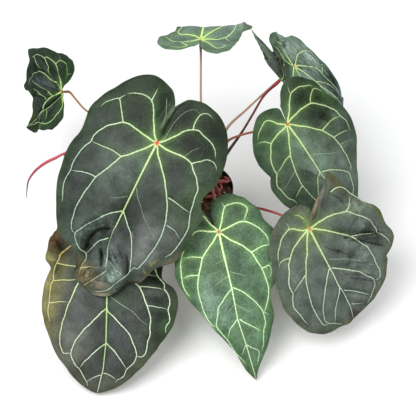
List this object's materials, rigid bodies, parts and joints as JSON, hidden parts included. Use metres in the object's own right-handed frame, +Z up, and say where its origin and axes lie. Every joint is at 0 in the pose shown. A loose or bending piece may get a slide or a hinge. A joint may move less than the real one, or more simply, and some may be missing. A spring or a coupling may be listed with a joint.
{
  "type": "potted anthurium hybrid",
  "caption": "Potted aroid with large velvety heart-shaped leaves and pale veins, each leaf on its own stalk, a short rooted crown, a drooping flower spike and a filled nursery pot.",
  "frame": {"origin": "centre of the pot's underside, on the surface that the pot stands on", "axes": "+Z up along the pot's axis; -Y is the front, where the largest leaves hang; +X is the plant's right as seen from the front"},
  "size_m": [0.6522, 0.6528, 0.3521],
  "materials": {
    "nursery_pot": "black, slightly scuffed satin plastic",
    "bark_substrate": "damp shredded bark with pale grains",
    "crown_stem": "knobbly brown-green stem with old leaf scars",
    "dark_velvet_blade": "charcoal green velvet with pale green veins",
    "green_velvet_blade": "fresh green velvet with pale veins and a blue sheen",
    "olive_blade": "olive to charcoal green, veins partly yellow",
    "red_stalk": "smooth maroon to orange-red stalk",
    "tan_stalk": "smooth pinkish tan stalk",
    "spadix_flesh": "fine knobbly spike, coral red at its foot and violet grey at its tip",
    "spathe_blade": "thin olive-tan bract",
    "papery_sheath": "dry papery orange-tan sheath",
    "root_skin": "smooth pink aerial root"
  },
  "bodies": {
    "root": {"pot": "nursery_pot", "substrate": "bark_substrate", "crown": "crown_stem", "blade_front_large": "dark_velvet_blade", "blade_front_low": "olive_blade", "blade_front_centre": "green_velvet_blade", "blade_right_low": "dark_velvet_blade", "blade_right_mid": "dark_velvet_blade", "blade_top_right": "dark_velvet_blade", "blade_top_folded": "dark_velvet_blade", "blade_back": "green_velvet_blade", "blade_left": "dark_velvet_blade", "petiole_front_large": "red_stalk", "petiole_front_low": "red_stalk", "petiole_front_centre": "red_stalk", "petiole_right_low": "red_stalk", "petiole_right_mid": "red_stalk", "petiole_top_folded": "red_stalk", "petiole_top_right": "tan_stalk", "petiole_back": "tan_stalk", "petiole_left": "tan_stalk", "peduncle": "red_stalk", "spadix": "spadix_flesh", "spathe": "spathe_blade", "sheath_left": "papery_sheath", "sheath_front": "papery_sheath", "sheath_back": "papery_sheath", "root_right": "root_skin", "root_front": "root_skin", "root_front_left": "root_skin", "root_back": "root_skin"}
  },
  "joints": []
}
